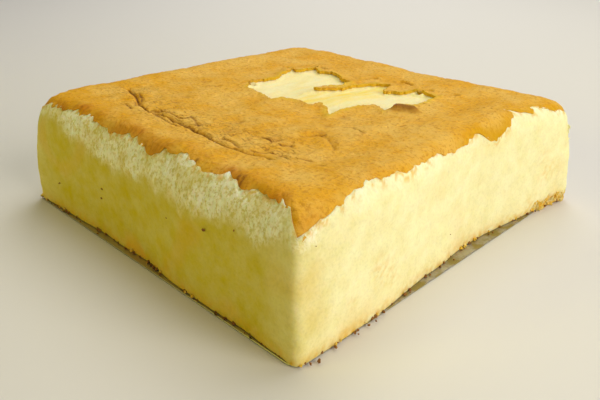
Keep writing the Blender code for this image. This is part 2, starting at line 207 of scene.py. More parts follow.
TUCK = 0.0012                   # the wall's crumb starts this far above the crust's edge, inside it
UNDER_CRUST = 0.0007            # the crumb lies this far below the crust's face
FOLD_CLEARANCE = 1.35           # and its folds are deeper by this factor
SHARP_ANGLE = math.radians(55)  # edges that turn more than this are shaded as sharp
TINY = 1e-6                     # keeps a division by a length of nothing from failing


def smooth_step(value, low, high):
    """0 below low, 1 above high, and a smooth rise between."""
    t = np.clip((value - low) / (high - low), 0.0, 1.0)
    return t * t * (3 - 2 * t)


def bell(distance):
    """1 at no distance, falling off smoothly to almost 0 at 2."""
    return np.exp(-distance ** 2)


def lumps(points, size, seed):
    """Smooth noise from about -1 to 1 at points in a plane or in space."""
    return np.array([noise.noise(Vector(p).to_3d() / size + Vector((seed, 0, 0))) for p in points]) * 2


def ring_on_rounded_square(flat):
    """Each point's ring, from 0 in the middle to 1 at the edge, and the outline's point that it heads for."""
    ring = np.maximum(np.abs(flat).max(axis=1), TINY)
    outline = flat / ring[:, None]
    radius = PLAN_CORNER_RADIUS / CAKE_HALF
    core = np.clip(outline, -(1 - radius), 1 - radius)
    away = outline - core
    length = np.maximum(np.linalg.norm(away, axis=1), TINY)
    return ring, core + radius * away / length[:, None]


def way_round(flat):
    """How far round the four sides a direction lies, from 0 to 4: front, right, back, left."""
    x, y = (flat / np.maximum(np.abs(flat).max(axis=1), TINY)[:, None]).T
    front = (1 + x) / 2
    right = 1 + (1 + y) / 2
    back = 2 + (1 - x) / 2
    left = 3 + (1 - y) / 2
    on_front_or_back = np.abs(y) >= np.abs(x)
    return np.where(on_front_or_back, np.where(y < 0, front, back), np.where(x > 0, right, left))


def on_circle(around):
    """The way round as a circle's points, so that noise along it closes on itself."""
    return np.stack([np.cos(around * np.pi / 2), np.sin(around * np.pi / 2)], axis=1)


def crust_edge_height(around):
    """Height of the crust's ragged lower edge above the foot."""
    wander = sum(share * lumps(on_circle(around), length, EDGE_SEED) for length, share in EDGE_WAVES)
    return np.interp(around, *zip(*CRUST_EDGE), period=SIDES) + EDGE_RAGGED * wander


def side_value(around, values):
    """A value given for each side, the same along the side and blended over at the corners."""
    places = [side + share for side in range(SIDES) for share in (BLEND_SHARE, 1 - BLEND_SHARE)]
    return np.interp(around, places, np.repeat(values, 2), period=SIDES)


def corner_value(xy, values):
    """A value given for each corner, blended evenly between them."""
    x, y = (xy / CAKE_HALF).T
    shares = [(1 + side_x * x) * (1 + side_y * y) / 4 for side_x, side_y in CORNERS]
    return sum(share * value for share, value in zip(shares, values))


def nearness_to_corner(xy):
    """1 at a corner, falling off quickly along the sides and inwards."""
    return np.clip(np.abs(xy[:, 0] * xy[:, 1]) / CAKE_HALF ** 2, 0, 1) ** CORNER_REACH


def crown(xy):
    """Height of the top above the foot, before its edges are rounded."""
    inset = CAKE_HALF - np.abs(xy).max(axis=1)
    sag = MIDDLE_SAG * smooth_step(inset, RIM_WIDTH / 3, RIM_WIDTH)
    return corner_value(xy, RIM_HEIGHT) - sag - corner_value(xy, CORNER_DROP) * nearness_to_corner(xy)


def roll_drop(inset, across, down):
    """How far the rounded shoulder lies below the crown, at a distance in from the side."""
    return down * (1 - np.sqrt(1 - (1 - np.clip(inset / across, 0, 1)) ** 2))


def roll_inset(drop, across, down):
    """How far in from the side the shoulder is, at a depth below the crown."""
    return across * (1 - np.sqrt(1 - (1 - np.clip(drop / down, 0, 1)) ** 2))


def smooth_line(places, keys):
    """Reads a smooth curve that runs through key points given as (place, value)."""
    at, values = np.array(keys).T
    slopes = np.gradient(values, at)
    left = np.clip(np.searchsorted(at, places, side="right") - 1, 0, len(at) - 2)
    width = at[left + 1] - at[left]
    t = np.clip((places - at[left]) / width, 0, 1)
    from_left = (1 + 2 * t) * (1 - t) ** 2 * values[left] + t * (1 - t) ** 2 * width * slopes[left]
    from_right = t ** 2 * (3 - 2 * t) * values[left + 1] - t ** 2 * (1 - t) * width * slopes[left + 1]
    return from_left + from_right


def settle(points):
    """Moves the walls in or out to their real line, and leans the corners in towards the top."""
    x, y, z = points.T
    along_x, along_y = (x / CAKE_HALF + 1) / 2, (y / CAKE_HALF + 1) / 2
    front, right, back, left = WALL_LINE
    out_x = np.where(x > 0, smooth_line(along_y, right), smooth_line(1 - along_y, left))
    out_y = np.where(y > 0, smooth_line(1 - along_x, back), smooth_line(along_x, front))
    free = smooth_step(z, *WALL_FREE)
    near = nearness_to_corner(points[:, :2])
    lean = corner_value(points[:, :2], CORNER_LEAN) * near * smooth_step(z / max(RIM_HEIGHT), LEAN_FROM, 1.0)
    moved_x = x * (1 + (out_x * free - lean) / CAKE_HALF)
    moved_y = y * (1 + (out_y * free - lean) / CAKE_HALF)
    return np.stack([moved_x, moved_y, z], axis=1)


def place_in_frame(points):
    """Settles the walls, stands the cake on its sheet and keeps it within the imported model's box."""
    return np.clip(settle(points) + STANDS_AT, *CAD_BOX)


def nearest_on_line(xy, line, closed):
    """For each point, the nearest point of a line of straight pieces, and the distance to it."""
    starts = np.array(line)
    ends = np.roll(starts, -1, axis=0)
    if not closed:
        starts, ends = starts[:-1], ends[:-1]
    nearest = np.zeros_like(xy)
    least = np.full(len(xy), np.inf)
    for start, end in zip(starts, ends):
        run = end - start
        share = np.clip((xy - start) @ run / (run @ run), 0, 1)
        foot = start + share[:, None] * run
        gap = np.linalg.norm(xy - foot, axis=1)
        closer = gap < least
        nearest[closer] = foot[closer]
        least[closer] = gap[closer]
    return nearest, least


def gap_to(xy, line):
    """Distance from each point to an open line."""
    return nearest_on_line(xy, line, closed=False)[1]


def inside(xy, outline):
    """True for the points that a closed outline holds."""
    x, y = xy.T
    held = np.zeros(len(xy), bool)
    for (start_x, start_y), (end_x, end_y) in zip(outline, np.roll(outline, -1, axis=0)):
        if start_y != end_y:
            crossing = start_x + (y - start_y) / (end_y - start_y) * (end_x - start_x)
            held ^= ((start_y > y) != (end_y > y)) & (x < crossing)
    return held


def ragged(outline):
    """The patch's outline with small corners, as thin dry crust breaks."""
    points = []
    for start, end in zip(np.array(outline), np.roll(outline, -1, axis=0)):
        pieces = max(2, round(np.linalg.norm(end - start) / TEAR_STEP))
        points += [start + (end - start) * i / pieces for i in range(pieces)]
    stray = np.column_stack([lumps(points, 1.7 * TEAR_STEP, TEAR_SEED + axis) for axis in range(2)])
    return points + TEAR_JITTER * stray


RAGGED_PATCH = ragged(BARE_PATCH)


def into_patch(xy):
    """Distance into the bare patch, negative outside it."""
    gap = nearest_on_line(xy, RAGGED_PATCH, closed=True)[1]
    return np.where(inside(xy, RAGGED_PATCH), gap, -gap)


def soft_unevenness(xy):
    """The broad lumps of the top and the soft bars that the cooling rack pressed into it."""
    height = LUMP_HEIGHT * lumps(xy, LUMP_SIZE, TOP_SEED)
    return height + BAND_DEPTH * np.cos(2 * np.pi * xy[:, 0] / BAND_PITCH)


def grid_over_top(cells):
    """A flat grid from -1 to 1, for the top of the cake."""
    bm = bmesh.new()
    bmesh.ops.create_grid(bm, x_segments=cells, y_segments=cells, size=1.0)
    return bm


def paint(bm, layer, values):
    """Writes a value for each vertex, which a material can read."""
    made = bm.verts.layers.float.new(layer)
    for vert, value in zip(bm.verts, values):
        vert[made] = value


def add_piece(name, mesh, finish):
    """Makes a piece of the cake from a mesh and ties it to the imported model."""
    mesh.materials.clear()
    mesh.materials.append(finish)
    mesh.shade_smooth()
    mesh.set_sharp_from_angle(angle=SHARP_ANGLE)
    piece = bpy.data.objects.new(name, mesh)
    bpy.context.scene.collection.objects.link(piece)
    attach(piece, "root")
    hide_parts("cake")
    return piece


def mesh_of(name, bm):
    bmesh.ops.recalc_face_normals(bm, faces=bm.faces)
    mesh = bpy.data.meshes.new(name)
    bm.to_mesh(mesh)
    bm.free()
    return mesh


# ---- where the top folded, wrinkled and cracked as the cake sank: crumb and crust alike
# The long fold along the front, and a short one to the right of it.
CREASE = ((-0.0720, -0.0555), (-0.0580, -0.0600), (-0.0424, -0.0679), (-0.0293, -0.0710), (-0.0146, -0.0700),
          (0.0009, -0.0708), (0.0147, -0.0719), (0.0216, -0.0736), (0.0326, -0.0734), (0.0409, -0.0720),
          (0.0490, -0.0689), (0.0545, -0.0691))
SIDE_CREASE = ((0.0436, -0.0416), (0.0458, -0.0383), (0.0484, -0.0347), (0.0528, -0.0351), (0.0592, -0.0391),
               (0.0639, -0.0426))
WRINKLES = (
    ((-0.0604, -0.0564), (-0.0540, -0.0592), (-0.0479, -0.0630)),
    ((-0.0500, -0.0655), (-0.0420, -0.0705)),
    ((-0.0478, -0.0721), (-0.0394, -0.0748)),
    ((-0.0318, -0.0690), (-0.0230, -0.0666), (-0.0112, -0.0668), (-0.0079, -0.0639)),
    ((-0.0098, -0.0612), (-0.0030, -0.0640), (0.0034, -0.0666)),
    ((-0.0277, -0.0722), (-0.0186, -0.0728), (-0.0109, -0.0736), (-0.0030, -0.0738)),
    ((0.0242, -0.0695), (0.0294, -0.0684), (0.0371, -0.0702)),
    ((0.0417, -0.0686), (0.0460, -0.0668), (0.0496, -0.0640)),
    ((0.0537, -0.0641), (0.0593, -0.0651)),
    ((0.0342, -0.0549), (0.0399, -0.0549), (0.0413, -0.0516)),
    ((0.0446, -0.0548), (0.0484, -0.0519)),
    ((-0.0471, -0.0270), (-0.0446, -0.0213), (-0.0408, -0.0190)),
    ((0.0473, -0.0357), (0.0500, -0.0329)),
    ((0.0496, -0.0190), (0.0526, -0.0170), (0.0580, -0.0188), (0.0611, -0.0197)),
    ((0.0520, -0.0056), (0.0537, -0.0039)),
    ((0.0695, 0.0100), (0.0692, 0.0131)),
    ((0.0681, -0.0001), (0.0695, 0.0018)),
    ((0.0615, -0.0621), (0.0661, -0.0599)),
    ((0.0710, -0.0598), (0.0735, -0.0603)),
)

# Short crevices with curled lips, darkened along the crack as painted shade, where the crust broke behind the
# bare patch.
CREVICES = (
    ((-0.0490, 0.0400), (-0.0455, 0.0384), (-0.0425, 0.0386)),
    ((-0.0347, 0.0544), (-0.0318, 0.0538), (-0.0282, 0.0548)),
    ((0.0012, 0.0547), (0.0020, 0.0575), (0.0041, 0.0597)),
    ((0.0185, 0.0641), (0.0230, 0.0640), (0.0274, 0.0622)),
    ((0.0386, 0.0520), (0.0396, 0.0552), (0.0420, 0.0580)),
    ((0.0536, 0.0559), (0.0555, 0.0606)),
    ((-0.0362, -0.0075), (-0.0356, 0.0001)),
)

FOLD_KINDS = (
    # lines, depth of the broad groove, depth and half width of the crack, height of its lips, painted shade
    # in the crack
    ((CREASE,), 0.0008, 0.0009, 0.00055, 0.0, 0.95),
    ((SIDE_CREASE,), 0.0008, 0.0002, 0.00055, 0.0, 0.20),
    (WRINKLES, 0.0, 0.0006, 0.00050, 0.0, 0.60),
    (CREVICES, 0.0, 0.0014, 0.00100, 0.0008, 0.50),
)
GROOVE_HALF_WIDTH = 0.0015
FOLD_WANDER, FOLD_WAVER = 0.0060, 0.45      # the folds widen and narrow over this length, by this share
# Small round hollows where bubbles fell in, darkened with painted shade.
PITS = ((-0.0384, -0.0429), (-0.0341, -0.0522), (0.0020, -0.0654), (0.0192, -0.0613), (0.0398, -0.0522),
        (0.0122, -0.0495), (0.0475, -0.0324), (0.0423, -0.0233), (0.0400, -0.0087), (-0.055, -0.018))
PIT_RADIUS, PIT_DEPTH, PIT_SHADE = 0.0024, 0.0006, 0.30


def folds(xy):
    """Depth of the creases, wrinkles, crevices and pits, and the painted shade in each, as a share of brown.
    """
    depth = np.zeros(len(xy))
    brown = np.zeros(len(xy))
    uneven = 1 + FOLD_WAVER * np.clip(lumps(xy, FOLD_WANDER, TOP_SEED), -1, 1)
    for lines, groove, crack, half_width, curl, browned in FOLD_KINDS:
        for line in lines:
            gap = gap_to(xy, line) * uneven
            sharp = bell(gap / half_width)
            depth -= curl * bell(gap / half_width - 2)
            depth += groove * bell(gap / GROOVE_HALF_WIDTH) + crack * sharp
            # painted shade along the crack, drawn as brown
            brown += browned * sharp
    for pit in PITS:
        gap = np.linalg.norm(xy - np.array(pit), axis=1)
        depth += PIT_DEPTH * bell(gap / PIT_RADIUS)
        # painted shade in the hollow, drawn as brown
        brown += PIT_SHADE * bell(gap / PIT_RADIUS)
    return depth, brown


# ---- how the sponge's surface looks from close by
# Height where the torn, crumbly band under the crust starts, counted in sides from the front left corner.
TORN_LINE = (
    (0.00, 0.0485), (0.12, 0.0480), (0.20, 0.0455), (0.28, 0.0415), (0.34, 0.0370), (0.43, 0.0380),
    (0.52, 0.0410), (0.63, 0.0420), (0.73, 0.0405), (0.84, 0.0425), (0.93, 0.0450), (1.00, 0.0480),
    (1.10, 0.0520), (1.90, 0.0500), (2.10, 0.0440), (2.60, 0.0425), (3.10, 0.0430), (3.60, 0.0410),
    (3.90, 0.0450),
)
TORN_FADE = (-0.003, 0.006)     # the band fades in over these heights about that line
TORN_AMOUNT = (1.0, 0.35, 0.8, 0.8)         # front, right, back, left
TORN_WANDER = ((0.014, 0.0025), (0.004, 0.0015))        # its lower edge wanders: wave length and height
TORN_CLUMP = 0.0090             # the band is torn deeper in clumps about this wide,
CLUMP_LEVEL, CLUMP_SWING = 0.88, 0.30       # at this level and this much above or below it
CRUMBS_SIZE, CRUMBS_DEPTH = 0.0042, 0.00030
GRAIN_SIZE, GRAIN_DEPTH = 0.0024, 0.00030
SKIN_SIZE, SKIN_DEPTH = 0.0032, 0.00008
TORN_RECESS = 0.00015           # the torn band lies this far behind the smooth skin
FLOOR_FIBRE = (0.0030, 0.0110, 0.0030)      # the crumb of the bare patch is drawn out along the rack's bars
FLOOR_FIBRE_DEPTH = 0.00008
TORN_SEED, GRAIN_SEED, FLOOR_SEED, TOAST_SEED = 41, 43, 47, 53
SKIN_YOLK_AND_SHADE = (0.85, 0.10, 0.22, 0.35)        # how yolky the skin is, and on the front wall painted shade with a golden painted reflection: front, right, back, left
TOP_TORN, TOP_YOLK = 0.50, 0.45             # the top's crumb is half torn and half yolky
# A band of yolky skin was left on the bare patch, and this share of it all over the patch.
YOLKY_BAND = ((0.005, -0.006), (0.012, 0.012), (0.016, 0.030), (0.020, 0.050))
YOLKY_WIDTH, YOLKY_SHARE = 0.0095, 0.35
TOAST_SIZE, TOAST_GOLD = 0.020, 0.30        # the toasted patches' size and how golden they are
TOASTED = (1.0, 0.3, 1.0, 1.0)              # how strong the toasted patches are: front, right, back, left
TOAST_RISE, RISE_GOLD = 0.012, 0.45         # the foot is more golden up to about this height
FOOT_GOLD, FOOT_GOLD_RISE = 0.40, 0.0035    # and most of all in its lowest few millimetres
FRINGE_GOLD, FRINGE_WIDTH = 0.75, 0.0020    # crumbs of gold skin cling just under the crust's edge
# Rough golden blotches on the right wall: way round, height and radius.
BLOTCHES = (
    (1.226, 0.0232, 0.005), (1.254, 0.0176, 0.006), (1.286, 0.0114, 0.004), (1.868, 0.0310, 0.004),
    (1.905, 0.0225, 0.006), (1.880, 0.0180, 0.004), (1.146, 0.0137, 0.003), (1.840, 0.0060, 0.005),
)
# The slumped corner's foot is crushed and ragged: its place on the way round, reach, height and relief.
CRUSHED_AT, CRUSHED_REACH, CRUSHED_HEIGHT, CRUSHED_RELIEF = 1.955, 0.060, 0.009, 0.0007
CRUSHED_INSET = 0.0015          # it broke away this deep
CRUSHED_STEP = 0.025            # and its upper limit is ragged over this length, in radii
CRUSHED_GAP_SHADE = 0.6              # how dark the painted shade in the gaps between its crumbs is


def lay_over_top(flat, tuck):
    """Lays a flat grid over the top and shoulders, to the crust's edge or further by tuck.

    Returns its points from above, how far in they are, the shoulder's width and fall, and how flat it is.
    """
    ring, outline = ring_on_rounded_square(flat)
    around = way_round(flat)
    across, down = side_value(around, ROLL_IN), side_value(around, ROLL_DOWN)
    edge_drop = crown(outline * (CAKE_HALF - across)[:, None]) - crust_edge_height(around) - tuck
    edge_inset = roll_inset(edge_drop, across, down)
    xy = outline * (ring * (CAKE_HALF - edge_inset))[:, None]
    inset = CAKE_HALF * (1 - ring) + ring * edge_inset
    fall = roll_drop(inset, across, down) + np.maximum(edge_drop - down, 0) * (ring > 1 - TINY)
    return xy, inset, across, fall, smooth_step(inset, 0.0, across)


def crumb_under_top(flat):
    """The crumb's top, just inside the crust, and the bare floor of the patch."""
    xy, inset, across, fall, flatness = lay_over_top(flat, TUCK)
    height = crown(xy) - fall
    depth = into_patch(xy)
    fibres = lumps(np.column_stack([xy, height]) / np.array(FLOOR_FIBRE), 1.0, FLOOR_SEED)
    bare = smooth_step(depth, 0.0, 0.002)
    floor = UNDER_CRUST + (TEAR_FLOOR - UNDER_CRUST) * bare - FLOOR_FIBRE_DEPTH * fibres * bare
    height += (soft_unevenness(xy) - FOLD_CLEARANCE * folds(xy)[0]) * flatness
    height -= floor * smooth_step(inset, 0.0, across / 2)
    return np.column_stack([xy, height])


def crumb_wall(flat, row):
    """The walls, from under the crust's edge down to the foot, and how crumbly they are."""
    outline = ring_on_rounded_square(flat)[1]
    around = way_round(flat)
    across, down = side_value(around, ROLL_IN), side_value(around, ROLL_DOWN)
    rim = crown(outline * (CAKE_HALF - across)[:, None])
    height = (crust_edge_height(around) + TUCK) * (1 - row / CRUMB_ROWS)
    inset = roll_inset(rim - height, across, down)
    points = np.column_stack([outline * (CAKE_HALF - inset)[:, None], height])
    crumbly = torn_band(around, points)
    crushed = crushed_foot(around, height)
    swell = SIDE_LUMP_DEPTH * lumps(points, SIDE_LUMP_SIZE, SIDE_SEED) * smooth_step(height, *WALL_FREE)
    coarse = lumps(points, CRUMBS_SIZE, TORN_SEED)
    fine = lumps(points, GRAIN_SIZE, GRAIN_SEED)
    swell += crumbly * (CRUMBS_DEPTH * coarse + GRAIN_DEPTH * fine - TORN_RECESS)
    swell += crushed * (CRUSHED_RELIEF * coarse - CRUSHED_INSET)
    swell += SKIN_DEPTH * lumps(points, SKIN_SIZE, GRAIN_SEED)
    points[:, :2] += outline * swell[:, None]
    return points, crumbly, crushed


def torn_band(around, points):
    """How torn and crumbly the wall is: 0 on the smooth skin, up to 1 under the crust."""
    start = np.interp(around, *zip(*TORN_LINE), period=SIDES)
    for length, wander in TORN_WANDER:
        start = start + wander * lumps(points, length, TORN_SEED)
    fade = smooth_step(points[:, 2] - start, *TORN_FADE)
    clumps = CLUMP_LEVEL + CLUMP_SWING * lumps(points, TORN_CLUMP, GRAIN_SEED)
    return np.clip(side_value(around, TORN_AMOUNT) * fade * clumps, 0, 1)


def crushed_foot(around, height):
    """1 at the foot of the slumped corner, falling to 0 along the walls and upwards."""
    along = bell((around - CRUSHED_AT) / CRUSHED_REACH)
    top = CRUSHED_HEIGHT * (0.70 + 0.30 * lumps(on_circle(around), CRUSHED_STEP, TOAST_SEED))
    return along * smooth_step(top - height, 0.0, CRUSHED_HEIGHT / 2)


SPONGE_SKIN = "#f7f0ba"         # the smooth skin that stood against the tin
SPONGE_DEEP_AND_SHADE = "#cdb81c"         # the same skin where it is thicker and yolkier, and the painted shade of the front wall
SPONGE_YOLKY = "#f8d85c"        # skin left on the bare patch
SPONGE_TORN = "#fffbdc"         # crumb torn open
SPONGE_GOLD = "#e3b03c"         # where the heat of the tin took it further
SPONGE_HOLLOW_SHADE = "#8f6212"       # painted shade in the deep gaps between crushed crumbs
PORE = 0.0012                   # pores of the crumb are 0.3 mm wide, drawn at about 1 mm so that they show
PORE_DEPTH = 0.00022
CLOD = 0.0020                   # clods of torn crumb, 2 mm
CLOD_DRAWN = 0.45               # they tore downwards, so they are longer than they are wide
CLOD_DEPTH = 0.0009
MOTTLE = 0.0090


def chiffon_crumb():
    """Chiffon sponge: matt, soft and slightly see-through, so that its shadows glow a deeper yellow, with
    painted shade on the front wall, in the pores and between crushed crumbs.
    """
    made, tree, shader = new_material("chiffon sponge crumb")
    place = add_node(tree, "TexCoord").outputs["Object"]
    mottle = add_node(tree, "TexNoise", {"Scale": 1 / MOTTLE, "Detail": 5.0, "Roughness": 0.62},
                      {"Vector": place})
    pores = add_node(tree, "TexNoise", {"Scale": 1 / PORE, "Detail": 3.0, "Roughness": 0.6},
                     {"Vector": place})
    drawn_down = add_node(tree, "Mapping", {"Scale": (1, 1, CLOD_DRAWN)}, {"Vector": place})
    clods = add_node(tree, "TexNoise", {"Scale": 1 / CLOD, "Detail": 4.0, "Roughness": 0.75},
                     {"Vector": drawn_down})
    yolk_and_shade, torn, crumbly, toast, floor_skin, hollow_shade = (
        add_node(tree, "Attribute", {"attribute_name": layer}).outputs["Fac"]
        for layer in ("yolk_and_shade", "torn", "crumbly", "toast", "floor_skin", "hollow_shade")
    )

    drift = add_node(tree, "MapRange", {"From Min": 0.30, "From Max": 0.70, "To Min": -0.16, "To Max": 0.16},
                     {"Value": mottle})
    # the skin deepens towards the olive colour with its yolkiness, which on the front wall is painted shade
    yolk_and_shade_mix = add_node(tree, "Math", {"operation": "ADD", "use_clamp": True}, {0: yolk_and_shade, 1: drift})
    skin = add_node(tree, "MixRGB", {"Color1": linear(SPONGE_SKIN), "Color2": linear(SPONGE_DEEP_AND_SHADE)},
                    {"Fac": yolk_and_shade_mix})
    # the torn crumb's paler colour shows on the raised clods and pores, partly its own colour and partly
    # painted highlight, and the skin colour left in the gaps is painted shade
    finer = add_node(tree, "Math", {"operation": "MULTIPLY_ADD", 1: 0.5}, {0: pores, 2: clods})
    torn_specks_and_shade = add_node(tree, "MapRange", {"From Min": 0.64, "From Max": 0.82, "To Min": 0.30, "To Max": 1.3},
                      {"Value": finer})
    broken = add_node(tree, "Math", {"operation": "MULTIPLY", "use_clamp": True}, {0: crumbly, 1: torn_specks_and_shade})
    opened = add_node(tree, "Math", {"operation": "MAXIMUM"}, {0: torn, 1: broken})
    crumb = skin
    # the last layer is painted shade in the crushed foot's gaps
    for share, over in (
        (opened, SPONGE_TORN), (floor_skin, SPONGE_YOLKY), (toast, SPONGE_GOLD), (hollow_shade, SPONGE_HOLLOW_SHADE),
    ):
        crumb = add_node(tree, "MixRGB", {"Color2": linear(over)}, {"Fac": share, "Color1": crumb})
    # painted shade in the deepest pores, where the pore relief is lowest
    pits = add_node(tree, "MapRange", {"From Min": 0.30, "From Max": 0.55, "To Min": 0.92, "To Max": 1.0},
                    {"Value": pores})
    colour = add_node(tree, "MixRGB", {"blend_type": "MULTIPLY", "Fac": 1.0},
                      {"Color1": crumb, "Color2": pits})

    clod_bump = add_node(tree, "Math", {"operation": "MULTIPLY"}, {0: crumbly, 1: clods})
    coarse = add_node(tree, "Bump", {"Strength": 1.0, "Distance": CLOD_DEPTH}, {"Height": clod_bump})
    fine = add_node(tree, "Bump", {"Strength": 0.7, "Distance": PORE_DEPTH},
                    {"Height": pores, "Normal": coarse})
    settings = {"Roughness": 0.92, "IOR": 1.40, "Specular IOR Level": 0.12, "Subsurface Weight": 0.35,
                "Subsurface Radius": (1.0, 0.62, 0.20), "Subsurface Scale": 0.004}
    set_up(tree, shader, settings, {"Base Color": colour, "Normal": fine})
    return made


def make_sponge():
    bm = grid_over_top(CRUMB_CELLS)
    rim = [e for e in bm.edges if e.is_boundary]
    for row in range(1, CRUMB_ROWS + 1):
        extruded = bmesh.ops.extrude_edge_only(bm, edges=rim)["geom"]
        for vert in [g for g in extruded if isinstance(g, bmesh.types.BMVert)]:
            vert.co.z = -row
        rim = [g for g in extruded if isinstance(g, bmesh.types.BMEdge) and g.is_boundary]
    bmesh.ops.contextual_create(bm, geom=rim)
    flat = np.array([v.co for v in bm.verts])
    on_top = flat[:, 2] > -0.5
    points = np.empty_like(flat)
    crumbly, crushed = np.zeros((2, len(flat)))
    points[on_top] = crumb_under_top(flat[on_top, :2])
    points[~on_top], crumbly[~on_top], crushed[~on_top] = crumb_wall(flat[~on_top, :2], -flat[~on_top, 2])
    around = way_round(flat[:, :2])
    across_skin = gap_to(points[:, :2], YOLKY_BAND)
    streaky = 0.8 + 0.3 * lumps(points / np.array(FLOOR_FIBRE), 1.0, FLOOR_SEED)
    floor_skin = on_top * (YOLKY_SHARE + (1 - YOLKY_SHARE) * bell(across_skin / YOLKY_WIDTH)) * streaky
    patches = smooth_step(lumps(points, TOAST_SIZE, TOAST_SEED), 0.25, 1.0) * side_value(around, TOASTED)
    foot = smooth_step(TOAST_RISE - points[:, 2], 0.0, TOAST_RISE)
    toast = TOAST_GOLD * patches * (1 - crumbly) + RISE_GOLD * foot * smooth_step(patches + 0.35, 0, 1)
    fine = lumps(points, GRAIN_SIZE, TOAST_SEED)
    toast += crushed * smooth_step(fine, -0.9, 0.5)
    toast += FOOT_GOLD * bell(points[:, 2] / FOOT_GOLD_RISE) * (1 + 0.8 * fine)
    under_edge = (crust_edge_height(around) - points[:, 2]) / FRINGE_WIDTH
    toast += FRINGE_GOLD * bell(under_edge) * smooth_step(fine, 0.15, 0.6)
    for at, high, radius in BLOTCHES:
        away = np.hypot((around - at) * 2 * CAKE_HALF, points[:, 2] - high) / radius
        toast += TOAST_GOLD * bell(away) * smooth_step(fine, -0.8, 0.9)
    # painted shade where the crushed foot's relief lies lowest, between its crumbs
    hollow_shade = CRUSHED_GAP_SHADE * crushed * smooth_step(-lumps(points, CRUMBS_SIZE, TORN_SEED), 0.2, 0.9)
    paint(bm, "torn", TOP_TORN * on_top)
    paint(bm, "crumbly", crumbly)
    paint(bm, "floor_skin", np.clip(floor_skin, 0, 1))
    paint(bm, "toast", np.clip(toast * ~on_top, 0, 1))
    paint(bm, "hollow_shade", hollow_shade)
    # the walls' yolkiness is deepest on the front, where it is painted shade and a golden painted reflection
    paint(bm, "yolk_and_shade", np.where(on_top, TOP_YOLK, side_value(around, SKIN_YOLK_AND_SHADE)))
    for vert, point in zip(bm.verts, place_in_frame(points)):
        vert.co = point
    add_piece("sponge_crumb", mesh_of("sponge_crumb", bm), chiffon_crumb())


make_sponge()


# ================================================================ the crust
# The skin that browned in the oven, a soft sheet about 1 mm thick over the top and the rounded shoulders. It
# wrinkled as the cake sank, folded along the front, tore ragged round its lower edge, and a patch of it came
# away on the rack, which left curled, broken edges round the bare crumb.
CRUST_THICKNESS = 0.0010
EDGE_THINNESS = 0.15            # the crust tapers to this share of its thickness at the lower edge
EDGE_TAPER = 0.005              # over this width
CRUST_CELLS = 296               # cells along a side, so that one is about 0.7 mm
LIP = 0.0016                    # its edges turn under by this much, into the crumb,
LIP_BROKEN, LIP_BROWN = 0.9, 0.05           # and look this broken and this brown there
FLAP = ((0.0530, 0.0150), (0.0610, 0.0195))     # a tab of crust that stands up beside the bare patch
FLAP_LIFT, FLAP_HALF_WIDTH = 0.0028, 0.0024
FLAP_SHADE = 0.0036             # its front face is darkened this far out, as painted shade
# how dark the painted shade on its front face is, and how broken that face looks
FLAP_FACE_SHADE, FLAP_BROKEN = 0.85, 0.3
TEAR_LIP, TEAR_LIP_WIDTH = 0.0010, 0.003    # the crust stands up this high round the bare patch
# painted shade in a thin dark line along the bare patch's edge, and its width
TEAR_EDGE_SHADE, TEAR_EDGE_SHADE_WIDTH = 0.15, 0.0006
PIMPLE_SIZE, PIMPLE_HEIGHT = 0.0022, 0.00018
PUCKER_SIZE, PUCKER_HEIGHT = 0.0065, 0.00012
CRUMPLE_SIZE, CRUMPLE_HEIGHT = 0.0042, 0.00028          # small lumps beside the crease
GATHER_REACH = 0.0025           # the grid's points move up to this far to lie along a fold
PIMPLE_SEED, PUCKER_SEED = 61, 67
BROKEN_WIDTH, TEAR_BROKEN = 0.0018, 0.9     # the skin is olive gold this close to the bare patch
ROASTED = (1.0, 0.15, 0.6, 0.7)             # how far its lower edge roasted: front, right, back, left
ROASTED_WIDTH = 0.0055
PATCHY_SIZE = 0.009             # its browning is patchy at this size
# How golden its thin tips are, counted in sides from the front left corner.
GOLDEN = ((0.0, 0.25), (0.9, 0.20), (1.0, 0.05), (1.5, 0.05), (1.6, 0.90), (1.9, 0.80), (2.5, 0.60),
          (3.5, 0.50))
GOLDEN_WIDTH = 0.0032
FIBRE = (0.0014, 0.012, 0.012)  # the roasted skin is drawn out in fibres about this wide and long
# Fine wrinkles run beside the crease, about this line, their lines darkened as painted shade.
CREASED_ZONE = ((-0.062, -0.058), (-0.030, -0.066), (0.020, -0.064), (0.050, -0.058))
CREASED_WIDTH = 0.014
# Short nicks in the crust's lower edge on the front, drawn as dark lines.
NICK_HALF_WIDTH, NICK_BROWN = 0.0007, 0.8
EDGE_NICKS = (((0.0590, -0.0895), (0.0600, -0.0960)), ((0.0612, -0.0890), (0.0624, -0.0950)),
              ((0.0350, -0.0900), (0.0352, -0.0950)))


def gather(xy, line, closed):
    """Draws the grid's points towards a line, so that a fold or an edge there is crisp."""
    foot, gap = nearest_on_line(xy, line, closed)
    pull = np.where(gap < GATHER_REACH, 1 - gap / GATHER_REACH, 0.0)
    return xy + (foot - xy) * pull[:, None]


